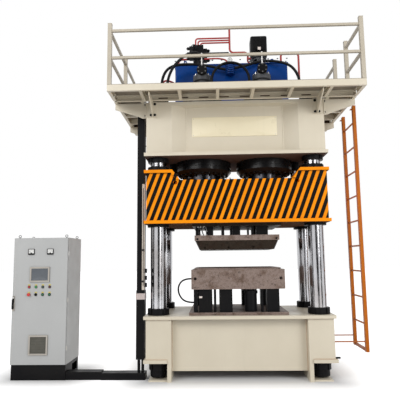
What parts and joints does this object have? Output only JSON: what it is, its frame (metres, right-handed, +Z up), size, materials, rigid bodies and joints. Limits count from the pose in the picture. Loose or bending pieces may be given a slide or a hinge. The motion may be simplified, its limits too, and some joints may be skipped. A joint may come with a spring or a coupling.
{
  "type": "hydraulic moulding press",
  "caption": "Four-column hydraulic moulding press with striped slide, matched tools, roof platform with ladder and power unit, and a control cabinet.",
  "frame": {"origin": "on the floor, at the centre between the four columns", "axes": "+X to the operator's right, +Y away from the operator, +Z up along the slide's travel"},
  "size_m": [5.117, 2.304, 5.616],
  "materials": {
    "cream": "semi-gloss paint",
    "hazard": "yellow and black striped paint",
    "chrome": "ground and plated",
    "black_steel": "black paint",
    "tool_steel": "machined, lightly rusted",
    "blue": "gloss paint",
    "grey": "satin paint",
    "orange": "gloss paint",
    "red": "gloss paint",
    "cabinet_grey": "fine textured paint",
    "bright": "zinc plated",
    "rubber": "matte",
    "black_plastic": "moulded",
    "green_plastic": "moulded",
    "red_plastic": "moulded",
    "vent_grey": "moulded"
  },
  "bodies": {
    "root": {"arch_pipe": "blue", "bed": "cream", "bell_housing": "grey", "bracket_bolts": "black_steel", "cabinet_base": "black_steel", "cabinet_hinges": "bright", "cabinet_shell": "cabinet_grey", "cable_trunk": "black_steel", "column_nuts": "black_steel", "columns": "chrome", "crown": "cream", "deck_plates": "grey", "die_base": "tool_steel", "die_block": "tool_steel", "die_risers": "black_steel", "ejectors": "black_steel", "floor_duct": "black_steel", "gauge": "bright", "guide_strip": "bright", "hose_fittings": "black_steel", "ladder": "orange", "left_hose": "rubber", "left_inner_hose": "rubber", "lifting_eyes": "bright", "main_cylinders": "black_steel", "motor": "black_steel", "oil_filter": "blue", "platform_brackets": "cream", "platform_frame": "cream", "prefill_caps": "black_steel", "prefill_valves": "grey", "pressure_pipes": "red", "railing": "cream", "return_cylinders": "black_steel", "right_hose": "rubber", "strip_fittings": "black_plastic", "tank": "blue", "tank_lid": "blue", "tool_hose": "rubber", "trunk_band": "bright", "valve_manifold": "black_steel", "valves": "black_plastic"},
    "slide_body": {"slide": "hazard", "rams": "black_steel", "return_rods": "chrome", "slide_glands": "black_steel", "clamp_plate": "tool_steel", "punch_spacers": "black_steel", "punch_plate": "tool_steel", "punch": "tool_steel"},
    "door_body": {"cabinet_door": "cabinet_grey", "door_panel": "black_plastic", "vent": "vent_grey"},
    "door_handle_body": {"door_handle": "black_plastic"},
    "stop_button_body": {"stop_button": "red_plastic"},
    "selector_knob_body": {"selector_knob": "black_plastic"},
    "start_button_body": {"start_button": "green_plastic"},
    "reset_button_body": {"reset_button": "green_plastic"},
    "upper_handwheel_body": {"upper_handwheel": "black_plastic"},
    "lower_handwheel_body": {"lower_handwheel": "black_plastic"}
  },
  "joints": [
    {"name": "slide_travel", "type": "slide", "parent": "root", "child": "slide_body", "axis": [0, 0, 1], "range_m": [-0.395, 0.05]},
    {"name": "door_swing", "type": "hinge", "parent": "root", "child": "door_body", "pos_m": [-2.459, -0.5365, 1.115], "axis": [0, 0, 1], "range_deg": [0, 120]},
    {"name": "handle_turn", "type": "hinge", "parent": "door_body", "child": "door_handle_body", "pos_m": [-3.24, -0.559, 1.1275], "axis": [0, -1, 0], "range_deg": [0, 90]},
    {"name": "stop_button_press", "type": "slide", "parent": "door_body", "child": "stop_button_body", "axis": [0, 1, 0], "range_m": [0, 0.005], "stiffness_N_per_m": 1500},
    {"name": "start_button_press", "type": "slide", "parent": "door_body", "child": "start_button_body", "axis": [0, 1, 0], "range_m": [0, 0.005], "stiffness_N_per_m": 800},
    {"name": "reset_button_press", "type": "slide", "parent": "door_body", "child": "reset_button_body", "axis": [0, 1, 0], "range_m": [0, 0.005], "stiffness_N_per_m": 800},
    {"name": "selector_turn", "type": "hinge", "parent": "door_body", "child": "selector_knob_body", "pos_m": [-2.917, -0.557, 1.198], "axis": [0, -1, 0], "range_deg": [-45, 45]},
    {"name": "upper_wheel_turn", "type": "hinge", "parent": "root", "child": "upper_handwheel_body", "pos_m": [-0.625, 0.26, 5.2725], "axis": [0, -1, 0], "continuous": true},
    {"name": "lower_wheel_turn", "type": "hinge", "parent": "root", "child": "lower_handwheel_body", "pos_m": [-0.625, 0.26, 5.1645], "axis": [0, -1, 0], "continuous": true}
  ]
}
